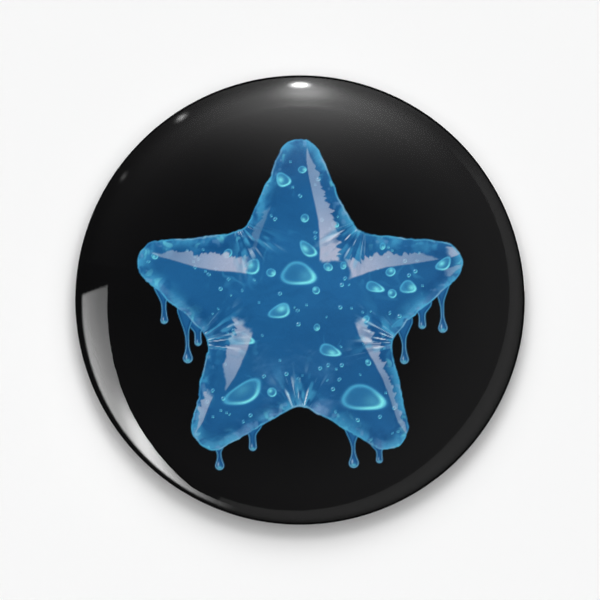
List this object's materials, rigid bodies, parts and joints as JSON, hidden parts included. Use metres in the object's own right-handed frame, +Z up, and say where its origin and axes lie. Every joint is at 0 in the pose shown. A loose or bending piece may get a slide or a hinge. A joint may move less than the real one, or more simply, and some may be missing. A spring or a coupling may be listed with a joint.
{
  "type": "button badge",
  "caption": "Round domed pin-back button badge with a clear film over a printed disc, a tinplate shell and back plate, and a safety pin that swings and opens.",
  "frame": {"origin": "on the axis of the disc, at the middle of the badge's depth", "axes": "-Y out of the domed face, +Y out of the back where the pin is, +Z up as the badge is worn, X along the pin"},
  "size_m": [0.058, 0.008, 0.058],
  "materials": {
    "film": "clear polyester film, mirror gloss",
    "print": "black full-bleed print with a blue star picture, matt under the film",
    "tinplate_shell": "bare tinplate, rolled grain",
    "tinplate_back": "bright tinplate with faint rolling lines and press marks",
    "spring_wire": "bright nickel-plated spring wire, drawn",
    "cap_steel": "nickel-plated folded sheet"
  },
  "bodies": {
    "badge": {"film_cover": "film", "print_disc": "print", "front_shell": "tinplate_shell", "back_plate": "tinplate_back"},
    "safety_pin": {"pin_wire": "spring_wire", "pin_cap": "cap_steel"},
    "pin_point": {"pin_leg": "spring_wire"}
  },
  "joints": [
    {"name": "safety_pin_swing", "type": "hinge", "parent": "badge", "child": "safety_pin", "pos_m": [0, 0.00218, 0.0026], "axis": [1, 0, 0], "range_deg": [0, 75]},
    {"name": "pin_leg_open", "type": "hinge", "parent": "safety_pin", "child": "pin_point", "pos_m": [-0.0146, 0.00285, -0.0026], "axis": [0, -0.5, 0.866], "range_deg": [0, 32]}
  ]
}
